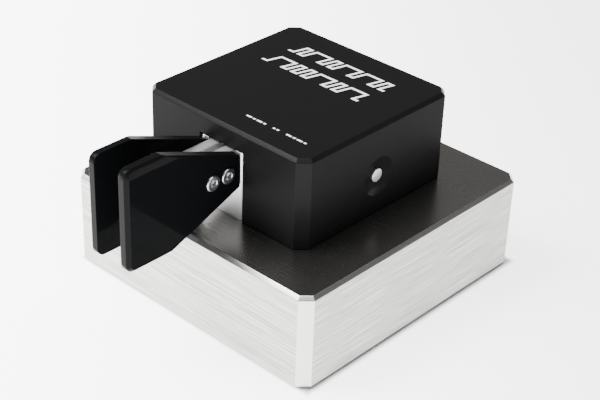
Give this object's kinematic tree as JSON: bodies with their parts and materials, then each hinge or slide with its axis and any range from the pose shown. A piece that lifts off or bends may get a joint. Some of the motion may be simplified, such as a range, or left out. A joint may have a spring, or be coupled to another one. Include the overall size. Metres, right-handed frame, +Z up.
{
  "type": "morse key",
  "caption": "Twin-lever Morse key: heavy square metal base, black box housing, two sprung vertical fingerpieces and side push buttons.",
  "frame": {"origin": "on the table, at the centre of the key's whole footprint box (base and overhanging fingerpieces)", "axes": "+Z up; -Y towards the operator's hand, the way the fingerpieces point; +X the operator's right"},
  "size_m": [0.09, 0.1146, 0.0597],
  "materials": {
    "base_steel": "bare stainless steel: horizontally brushed sides, satin ground top, milled 3 mm corners",
    "black_anodised": "satin black anodised aluminium with a faint brushed grain",
    "satin_aluminium": "fine-milled bare aluminium",
    "turned_steel": "turned and polished steel",
    "smoked_acrylic": "polished dark smoked acrylic with polished edges",
    "zinc_steel": "bright zinc-plated steel screws",
    "nickel": "nickel plate",
    "spring_steel": "drawn spring wire",
    "brass": "turned brass",
    "nylon": "natural nylon",
    "foot_rubber": "soft black rubber",
    "board_green": "green solder mask over glass-fibre board",
    "black_plastic": "moulded black plastic"
  },
  "bodies": {
    "base": {"base_block": "base_steel", "block_screw_front": "zinc_steel", "block_screw_rear": "zinc_steel", "board_screw_front_left": "zinc_steel", "board_screw_front_right": "zinc_steel", "board_screw_rear_left": "zinc_steel", "board_screw_rear_right": "zinc_steel", "bridge_screw_left": "zinc_steel", "bridge_screw_right": "zinc_steel", "button_spring_left": "spring_steel", "button_spring_right": "spring_steel", "button_switch_left": "black_plastic", "button_switch_right": "black_plastic", "cell_holder": "black_plastic", "circuit_board": "board_green", "coin_cell": "nickel", "controller_chip": "black_plastic", "foot_front_left": "foot_rubber", "foot_front_right": "foot_rubber", "foot_rear_left": "foot_rubber", "foot_rear_right": "foot_rubber", "hall_sensor_left": "black_plastic", "hall_sensor_right": "black_plastic", "housing": "black_anodised", "housing_screw_front_left": "zinc_steel", "housing_screw_front_right": "zinc_steel", "housing_screw_rear_left": "zinc_steel", "housing_screw_rear_right": "zinc_steel", "jack_nut": "nickel", "key_jack": "black_plastic", "lever_block": "satin_aluminium", "lever_spring_left": "spring_steel", "lever_spring_right": "spring_steel", "output_relay_left": "black_plastic", "output_relay_right": "black_plastic", "pivot_bridge": "satin_aluminium", "pivot_pin_left": "turned_steel", "pivot_pin_right": "turned_steel", "standoff_front_left": "brass", "standoff_front_right": "brass", "standoff_rear_left": "brass", "standoff_rear_right": "brass", "stop_pin": "turned_steel", "tension_screw_left": "zinc_steel", "tension_screw_right": "zinc_steel", "thrust_washer_left": "nylon", "thrust_washer_right": "nylon"},
    "left_lever": {"arm_left": "satin_aluminium", "fingerpiece_left": "smoked_acrylic", "fingerpiece_screw_left_front": "nickel", "fingerpiece_screw_left_rear": "nickel", "magnet_left": "nickel"},
    "left_button": {"push_button_left": "turned_steel"},
    "right_lever": {"arm_right": "satin_aluminium", "fingerpiece_right": "smoked_acrylic", "fingerpiece_screw_right_front": "nickel", "fingerpiece_screw_right_rear": "nickel", "magnet_right": "nickel"},
    "right_button": {"push_button_right": "turned_steel"}
  },
  "joints": [
    {"name": "left_lever_press", "type": "hinge", "parent": "base", "child": "left_lever", "pos_m": [-0.00375, -0.00175, 0.045], "axis": [0, 0, 1], "range_deg": [0, 0.8], "stiffness_Nm_per_rad": 1, "springref_deg": -0.8, "deforming": ["lever_spring_left"]},
    {"name": "right_lever_press", "type": "hinge", "parent": "base", "child": "right_lever", "pos_m": [0.00175, -0.00175, 0.045], "axis": [0, 0, -1], "range_deg": [0, 0.8], "stiffness_Nm_per_rad": 1, "springref_deg": -0.8, "deforming": ["lever_spring_right"]},
    {"name": "left_button_press", "type": "slide", "parent": "base", "child": "left_button", "axis": [1, 0, 0], "range_m": [0, 0.0006], "stiffness_N_per_m": 600, "springref_m": -0.0005, "deforming": ["button_spring_left"]},
    {"name": "right_button_press", "type": "slide", "parent": "base", "child": "right_button", "axis": [-1, 0, 0], "range_m": [0, 0.0006], "stiffness_N_per_m": 600, "springref_m": -0.0005, "deforming": ["button_spring_right"]}
  ]
}
